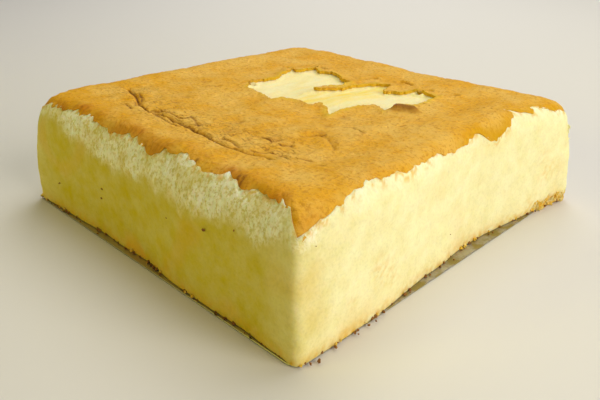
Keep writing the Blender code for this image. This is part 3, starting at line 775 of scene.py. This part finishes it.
def crust_face(flat):
    """The crust's outer face, from the middle of the top down to its ragged edge, and how brown it is, mostly
    painted shade in its folds, pits, flap and patch edge.
    """
    ring, outline = ring_on_rounded_square(flat)
    around = way_round(flat)
    xy, inset, across, fall, flatness = lay_over_top(flat, 0.0)
    xy = gather(xy, RAGGED_PATCH, closed=True)
    for line in (CREASE, SIDE_CREASE, *WRINKLES, *CREVICES):
        xy = gather(xy, line, closed=False)
    into_tear = into_patch(xy)
    depth, brown = folds(xy)
    from_flap = gap_to(xy, FLAP)
    relief = soft_unevenness(xy) - depth
    relief += TEAR_LIP * bell(into_tear / TEAR_LIP_WIDTH)
    relief += FLAP_LIFT * bell(from_flap / FLAP_HALF_WIDTH)
    tilt = np.clip(1 - inset / across, 0, 1)
    from_edge = CAKE_HALF * (1 - ring)
    full = EDGE_THINNESS + (1 - EDGE_THINNESS) * smooth_step(from_edge, 0.0, EDGE_TAPER)
    outwards = outline * (CRUST_THICKNESS * tilt * full)[:, None]
    points = np.column_stack([xy + outwards, crown(xy) - fall + relief * flatness])

    skin = PIMPLE_HEIGHT * lumps(points, PIMPLE_SIZE, PIMPLE_SEED)
    skin += PUCKER_HEIGHT * lumps(points, PUCKER_SIZE, PUCKER_SEED)
    creased = bell(gap_to(xy, CREASED_ZONE) / CREASED_WIDTH)
    skin += CRUMPLE_HEIGHT * creased * lumps(points, CRUMPLE_SIZE, PIMPLE_SEED)
    points[:, 2] += skin * np.sqrt(1 - tilt ** 2)
    points[:, :2] += outline * (skin * tilt)[:, None]

    patchy = 0.6 + 0.5 * lumps(points, PATCHY_SIZE, PUCKER_SEED)
    gilt = np.interp(around, *zip(*GOLDEN), period=SIDES)
    # painted shade along the bare patch's edge
    brown += TEAR_EDGE_SHADE * np.exp(-np.abs(into_tear) / TEAR_EDGE_SHADE_WIDTH)
    run = np.subtract(*FLAP[::-1])
    to_the_front = (xy - np.array(FLAP[0])) @ np.array([run[1], -run[0]]) / np.linalg.norm(run)
    flap_front = bell(from_flap / FLAP_SHADE) * smooth_step(to_the_front, -0.0012, 0.0004)
    # painted shade on the flap's front face
    brown += FLAP_FACE_SHADE * flap_front
    for line in EDGE_NICKS:
        brown += NICK_BROWN * bell(gap_to(xy, line) / NICK_HALF_WIDTH)
    beside_tear = bell(into_tear / BROKEN_WIDTH) * smooth_step(patchy, 0.2, 0.7)
    marks = {
        "brown": brown,
        "roasted": side_value(around, ROASTED) * bell(from_edge / ROASTED_WIDTH) * patchy,
        "golden": gilt * bell(from_edge / GOLDEN_WIDTH) * (1.4 - patchy),
        "broken": FLAP_BROKEN * flap_front + TEAR_BROKEN * beside_tear,
        "creased": creased,
    }
    return points, marks, into_tear


CRUST_GOLD = "#dfa312"
CRUST_TAN = "#e5b64c"
# dark brown for the roasted fibres, and painted shade in the folds, pits, wrinkles and on the flap
CRUST_BROWN_AND_SHADE = "#7c440c"
CRUST_DEEP = "#be8010"
CRUST_ROASTED = "#c67c06"
CRUST_GOLDEN = "#d29c00"        # thin tips of skin
CRUST_BROKEN = "#e2b828"        # the broken edge of the skin, where its crumb shows
CRUST_MOTTLE = 0.016            # patches of lighter and darker browning
CRUST_GRAIN = 0.0015            # the pimples of the skin are 0.5 mm wide, drawn at 1.5 mm so that they show
CRUST_GRAIN_DEPTH = 0.00060
FINE_WRINKLE = (0.010, 0.0042, 0.010)       # the finest wrinkles run along the front, about 10 mm long
FINE_WRINKLE_DEPTH = 0.00025


def oven_browned_crust():
    """Oven-browned egg sponge skin: leathery with a faint oily sheen, finely pimpled, gold to tan, with
    painted shade in its folds.
    """
    made, tree, shader = new_material("oven-browned sponge skin")
    place = add_node(tree, "TexCoord").outputs["Object"]
    patches = add_node(tree, "TexNoise", {"Scale": 1 / CRUST_MOTTLE, "Detail": 6.0, "Roughness": 0.6},
                       {"Vector": place})
    grain = add_node(tree, "TexNoise", {"Scale": 1 / CRUST_GRAIN, "Detail": 4.0, "Roughness": 0.65},
                     {"Vector": place})
    along = add_node(tree, "Mapping", {"Scale": [1 / size for size in FINE_WRINKLE]}, {"Vector": place})
    winding = add_node(tree, "TexNoise", {"Scale": 1.0, "Detail": 2.0, "Distortion": 0.8},
                       {"Vector": along})
    brown, roasted, golden, broken, creased = (
        add_node(tree, "Attribute", {"attribute_name": layer}).outputs["Fac"]
        for layer in ("brown", "roasted", "golden", "broken", "creased")
    )

    centred = add_node(tree, "Math", {"operation": "SUBTRACT", 1: 0.5}, {0: winding})
    distance = add_node(tree, "Math", {"operation": "ABSOLUTE"}, {0: centred})
    line = add_node(tree, "MapRange", {"From Max": 0.022, "To Min": 1.0, "To Max": 0.0},
                    {"Value": distance})
    wrinkle = add_node(tree, "Math", {"operation": "MULTIPLY"}, {0: line, 1: creased})

    tan = add_node(tree, "MapRange", {"From Min": 0.38, "From Max": 0.62}, {"Value": patches})
    base = add_node(tree, "MixRGB", {"Color1": linear(CRUST_GOLD), "Color2": linear(CRUST_TAN)},
                    {"Fac": tan})
    speckle = add_node(tree, "MapRange", {"From Min": 0.51, "From Max": 0.62, "To Max": 0.62},
                       {"Value": grain})
    drawn = add_node(tree, "Mapping", {"Scale": [1 / size for size in FIBRE]}, {"Vector": place})
    fibres = add_node(tree, "TexNoise", {"Scale": 1.0, "Detail": 2.0}, {"Vector": drawn})
    dark_fibres = add_node(tree, "MapRange", {"From Min": 0.48, "From Max": 0.66, "To Max": 0.35},
                           {"Value": fibres})
    # the roasted fibres are real browning; the brown marks and the fine wrinkle lines are painted shade
    streaks = add_node(tree, "Math", {"operation": "MULTIPLY_ADD"}, {0: dark_fibres, 1: roasted, 2: brown})
    brown_and_shade = add_node(tree, "Math", {"operation": "MULTIPLY_ADD", "use_clamp": True, 1: 0.55},
                       {0: wrinkle, 2: streaks})
    colour = base
    for share, over in (
        (speckle, CRUST_DEEP), (roasted, CRUST_ROASTED), (golden, CRUST_GOLDEN), (broken, CRUST_BROKEN),
        (brown_and_shade, CRUST_BROWN_AND_SHADE),
    ):
        colour = add_node(tree, "MixRGB", {"Color2": linear(over)}, {"Fac": share, "Color1": colour})

    folded = add_node(tree, "Bump", {"Strength": 1.0, "Distance": FINE_WRINKLE_DEPTH, "invert": True},
                      {"Height": wrinkle})
    pimpled = add_node(tree, "Bump", {"Strength": 1.0, "Distance": CRUST_GRAIN_DEPTH},
                       {"Height": grain, "Normal": folded})
    settings = {"Roughness": 0.64, "IOR": 1.42, "Specular IOR Level": 0.24, "Subsurface Weight": 0.10,
                "Subsurface Radius": (1.0, 0.5, 0.15), "Subsurface Scale": 0.0015}
    set_up(tree, shader, settings, {"Base Color": colour, "Normal": pimpled})
    return made


def drop_scraps(bm):
    """Takes away the scraps of skin that hang on to nothing."""
    held, edge_of_work = set(), [max(bm.verts, key=lambda v: v.co.z)]
    while edge_of_work:
        vert = edge_of_work.pop()
        if vert not in held:
            held.add(vert)
            edge_of_work += [e.other_vert(vert) for e in vert.link_edges]
    bmesh.ops.delete(bm, geom=[v for v in bm.verts if v not in held], context="VERTS")


def turn_edges_under(bm):
    """Turns the skin's free edges down into the crumb, which shows its thickness, broken and golden."""
    edges = [e for e in bm.edges if e.is_boundary]
    bm.normal_update()
    turned = bmesh.ops.extrude_edge_only(bm, edges=edges)["geom"]
    under = {g for g in turned if isinstance(g, bmesh.types.BMVert)}
    broken, brown = bm.verts.layers.float["broken"], bm.verts.layers.float["brown"]
    for vert in under:
        above = next(e.other_vert(vert) for e in vert.link_edges if e.other_vert(vert) not in under)
        vert.co = above.co - above.normal * LIP
        vert[broken], vert[brown] = LIP_BROKEN, LIP_BROWN


def make_crust():
    bm = grid_over_top(CRUST_CELLS)
    points, marks, into_tear = crust_face(np.array([v.co for v in bm.verts])[:, :2])
    for layer, values in marks.items():
        paint(bm, layer, np.clip(values, 0, 1))
    torn_off = [f for f in bm.faces if np.mean([into_tear[v.index] for v in f.verts]) > 0]
    for vert, point in zip(bm.verts, place_in_frame(points)):
        vert.co = point
    bmesh.ops.delete(bm, geom=torn_off, context="FACES")
    drop_scraps(bm)
    turn_edges_under(bm)
    add_piece("browned_crust", mesh_of("browned_crust", bm), oven_browned_crust())


make_crust()


# ================================================================ crumbs
# Crumbs of sponge that rubbed off the walls lie at the foot and cling to the slumped back right corner, and
# crumbs of crust and of baked-on batter stick to the walls and to the bare metal.
CRUMB_SEED = 71
SPONGE_CRUMB_SIZES = (0.0006, 0.0018)
BROWN_CRUMB_SIZES = (0.0004, 0.0009)
FOOT_CRUMBS, FOOT_SCALE = 60, (0.4, 0.8)    # how many lie at the foot all round, and their scale
CORNER_CRUMBS, CORNER_SCALE = 70, 1.3
CORNER_SPREAD = (1.99, 0.13)                # those at the corner start here and lie this far back
CORNER_RISE = 0.0065                        # up to this high
METAL_CRUMBS, METAL_SCALE = 240, 0.8
METAL_REACH = 0.003                         # those on the bare metal lie up to this far out
LOW_GOLD, LOW_GOLD_SWING = 0.7, 0.5         # the pale crumbs that lie low are golden,
ALL_GOLD, HIGH_TORN, LOW_YOLK = 0.15, 0.3, 0.15         # the rest barely, and torn open
# Bits that stick out of the walls near the crust and at the slumped corner: way round, height and size.
LOOSE_BITS = (
    (1.993, 0.0400, 0.0015), (1.991, 0.0385, 0.0013), (1.992, 0.0335, 0.0013), (1.990, 0.0318, 0.0010),
    (3.450, 0.0480, 0.0012), (2.700, 0.0460, 0.0012),
)
# A sliver of skin hangs from the crust's edge on the front: its two ends as way round, height and distance
# out of the plane of the wall.
SLIVER = ((0.507, 0.0565, -0.0030), (0.500, 0.0535, -0.0004))
SLIVER_WIDTH = 0.0007
# Specks of dark crumb on the walls: side, share of the way along it, and height.
WALL_SPECKS = (
    (0, 0.33, 0.0250), (0, 0.32, 0.0195), (0, 0.74, 0.0355), (0, 0.83, 0.0420), (0, 0.12, 0.0150),
    (0, 0.61, 0.0310),
    (1, 0.22, 0.0210), (1, 0.045, 0.0460), (1, 0.52, 0.0120),
    (2, 0.25, 0.0240), (2, 0.60, 0.0330), (2, 0.81, 0.0150),
    (3, 0.30, 0.0280), (3, 0.55, 0.0180), (3, 0.72, 0.0370),
)
SPECK_SCALE = (0.7, 0.35, 0.7, 0.7)         # of a brown crumb's size: front, right, back, left


def wall_point(around, height):
    """A point on a wall's face, and the direction straight out of it."""
    side = int(around) % SIDES
    along = 2 * (around - int(around)) - 1
    flat = np.array([[(along, -1), (1, along), (-along, 1), (-1, -along)][side]], float)
    outline = ring_on_rounded_square(flat)[1]
    core = 1 - PLAN_CORNER_RADIUS / CAKE_HALF
    outward = outline - np.clip(flat, -core, core)
    point = settle(np.column_stack([outline * CAKE_HALF, [height]]))[0]
    return STANDS_AT + point, np.append(outward[0] / np.linalg.norm(outward), 0.0)


def add_crumb(bm, centre, size, chance):
    """Adds one crumb: a small ball, squashed and knocked out of round."""
    made = bmesh.ops.create_icosphere(bm, subdivisions=2, radius=1.0)["verts"]
    stretch = Vector([chance.uniform(0.7, 1.2) for _ in range(3)])
    turn = Vector([chance.uniform(0, 50) for _ in range(3)])
    for vert in made:
        bulge = 1 + 0.9 * noise.noise(vert.co * 1.3 + turn) + 0.6 * noise.noise(vert.co * 3.1 + turn)
        vert.co = Vector(centre) + vert.co * stretch * bulge * size


def make_sliver(bm, top, tip):
    """Adds a thin curl of skin that tapers from its root to its tip."""
    made = bmesh.ops.create_cone(bm, segments=8, radius1=SLIVER_WIDTH, radius2=SLIVER_WIDTH / 6, depth=1.0,
                                 cap_ends=True)["verts"]
    run = tip - top
    turned = run.to_track_quat("Z", "Y").to_matrix()
    for vert in made:
        shape = Vector((vert.co.x, vert.co.y * 0.4, (vert.co.z + 0.5) * run.length))
        vert.co = top + turned @ shape


def make_crumbs():
    chance = random.Random(CRUMB_SEED)
    pale = bmesh.new()
    for _ in range(FOOT_CRUMBS):
        size = chance.uniform(*SPONGE_CRUMB_SIZES) * chance.uniform(*FOOT_SCALE)
        point, outward = wall_point(chance.uniform(0, SIDES), size * 0.6)
        add_crumb(pale, point + outward * size * chance.uniform(-0.2, 0.5), size, chance)
    for _ in range(CORNER_CRUMBS):
        size = chance.uniform(*SPONGE_CRUMB_SIZES) * CORNER_SCALE
        around = CORNER_SPREAD[0] - CORNER_SPREAD[1] * chance.random() ** 1.4
        point, outward = wall_point(around, chance.uniform(0.05, 1.0) ** 2 * CORNER_RISE)
        add_crumb(pale, point - outward * (CRUSHED_INSET + 0.2 * size), size, chance)
    for around, height, size in LOOSE_BITS:
        point, outward = wall_point(around, height)
        add_crumb(pale, point - outward * size * 0.8, size, chance)

    ends = []
    for around, height, out in SLIVER:
        point, outward = wall_point(around, height)
        ends.append(Vector(point + outward * out))
    make_sliver(pale, *ends)

    brown = bmesh.new()
    for side, along, height in WALL_SPECKS:
        point, outward = wall_point(side + along, height)
        add_crumb(brown, point, chance.uniform(*BROWN_CRUMB_SIZES) * SPECK_SCALE[side], chance)
    for _ in range(METAL_CRUMBS):
        size = chance.uniform(*BROWN_CRUMB_SIZES) * METAL_SCALE
        around = chance.uniform(0, SIDES)
        point, outward = wall_point(around, size * 0.4)
        add_crumb(brown, point + outward * chance.uniform(-0.1, 1.0) ** 3 * METAL_REACH, size, chance)

    places = np.array([vert.co for vert in pale.verts])
    low_down = places[:, 2] < CRUSHED_HEIGHT
    golden = LOW_GOLD + LOW_GOLD_SWING * lumps(places, GRAIN_SIZE, CRUMB_SEED)
    paint(pale, "torn", HIGH_TORN * ~low_down)
    paint(pale, "toast", np.clip(ALL_GOLD + low_down * golden, 0, 1))
    paint(pale, "yolk_and_shade", LOW_YOLK * low_down)

    for name, bm, finish in (
        ("sponge_crumbs", pale, chiffon_crumb()),
        ("crust_crumbs", brown, baked_crumb()),
    ):
        for vert in bm.verts:
            vert.co = np.clip(vert.co, *CAD_BOX)
        add_piece(name, mesh_of(name, bm), finish)


CRUMB_DARK = "#6a4010"
CRUMB_TOFFEE = "#a8722c"


def baked_crumb():
    """Crumbs of oven-browned crust: dry, matt and uneven, toffee brown."""
    made, tree, shader = new_material("baked crust crumb")
    place = add_node(tree, "TexCoord").outputs["Object"]
    grain = add_node(tree, "TexNoise", {"Scale": 1 / CRUST_GRAIN, "Detail": 3.0}, {"Vector": place})
    colour = add_node(tree, "MixRGB", {"Color1": linear(CRUMB_DARK), "Color2": linear(CRUMB_TOFFEE)},
                      {"Fac": grain})
    bump = add_node(tree, "Bump", {"Strength": 0.5, "Distance": CRUST_GRAIN_DEPTH}, {"Height": grain})
    set_up(tree, shader, {"Roughness": 0.85}, {"Base Color": colour, "Normal": bump})
    return made


make_crumbs()


# ================================================================ the table, the light and the camera
# A plain pale floor that sweeps up behind, a big soft light from the right, one from above, a weak yellow one
# from the front left, and a pale sky. The camera looks down on the near corner.
FLOOR_SIZE = 8.0
FLOOR_CELLS = 64
BACKDROP_HEIGHT = 2.0           # the floor sweeps up into a pale backdrop all round
BACKDROP_RISE = (2.3, 4.0)
FLOOR_PALE = "#dad6cd"
LIGHTS = (
    # name, place, aimed at, size, watts, colour, angle that it fans out over in degrees
    ("key", (1.15, 0.10, 0.62), (0.0, 0.0, 0.03), 0.9, 12.9, "#fffaf0", 180),
    ("top", (-0.1, 0.6, 1.3), (0.0, 0.0, 0.03), 1.2, 10.8, "#ffffff", 180),
    ("fill", (-0.78, -1.72, 0.75), (0.0, 0.0, 0.03), 0.7, 0.57, "#fff43c", 40),
    ("back", (-0.6, 0.7, 0.7), (-0.5, 0.6, 0.0), 0.8, 3.0, "#ffffff", 180),
)
SKY_PALE = "#e8e6ea"
SKY_STRENGTH = 0.12

floor_bm = bmesh.new()
bmesh.ops.create_grid(floor_bm, x_segments=FLOOR_CELLS, y_segments=FLOOR_CELLS, size=FLOOR_SIZE / 2)
for vert in floor_bm.verts:
    vert.co.z = BACKDROP_HEIGHT * float(smooth_step(vert.co.xy.length, *BACKDROP_RISE))
floor = bpy.data.objects.new("floor", mesh_of("floor", floor_bm))
floor.data.shade_smooth()
bpy.context.scene.collection.objects.link(floor)
floor_paint, floor_tree, floor_shader = new_material("matt pale table top")
set_up(floor_tree, floor_shader, {"Base Color": linear(FLOOR_PALE), "Roughness": 0.7})
floor.data.materials.append(floor_paint)


def add_light(name, place, target, size, watts, colour, fan):
    light = bpy.data.lights.new(name, "AREA")
    light.shape = "DISK"
    light.size = size
    light.spread = math.radians(fan)
    light.energy = watts
    light.color = linear(colour)[:3]
    lamp = bpy.data.objects.new(name, light)
    lamp.location = place
    lamp.rotation_euler = (Vector(target) - Vector(place)).to_track_quat("-Z", "Y").to_euler()
    bpy.context.scene.collection.objects.link(lamp)


for row in LIGHTS:
    add_light(*row)

world = bpy.data.worlds.new("soft sky")
world.use_nodes = True
world.node_tree.nodes["Background"].inputs["Color"].default_value = linear(SKY_PALE)
world.node_tree.nodes["Background"].inputs["Strength"].default_value = SKY_STRENGTH
bpy.context.scene.world = world
bpy.context.scene.view_settings.view_transform = "Standard"

# The camera's place is in sheet widths from the middle of the sheet's upper face.
CAMERA_PLACE = (1.146, -1.144, 0.783)
CAMERA_AZIMUTH, CAMERA_PITCH, CAMERA_ROLL = math.radians(44.78), math.radians(-26.02), math.radians(0.28)
CAMERA_LENS = 39.08
SENSOR_WIDTH = 36.0

lens = bpy.data.cameras.new("camera")
lens.lens = CAMERA_LENS
lens.sensor_width = SENSOR_WIDTH
lens.clip_start = 0.01
camera = bpy.data.objects.new("camera", lens)
camera.location = Vector((MIDDLE.x, MIDDLE.y, TIN_HIGH.z)) + SHEET_WIDTH * Vector(CAMERA_PLACE)
turned = Matrix.Rotation(CAMERA_AZIMUTH, 3, "Z") @ Matrix.Rotation(math.pi / 2 + CAMERA_PITCH, 3, "X")
camera.rotation_euler = (turned @ Matrix.Rotation(CAMERA_ROLL, 3, "Z")).to_euler()
bpy.context.scene.collection.objects.link(camera)
bpy.context.scene.camera = camera
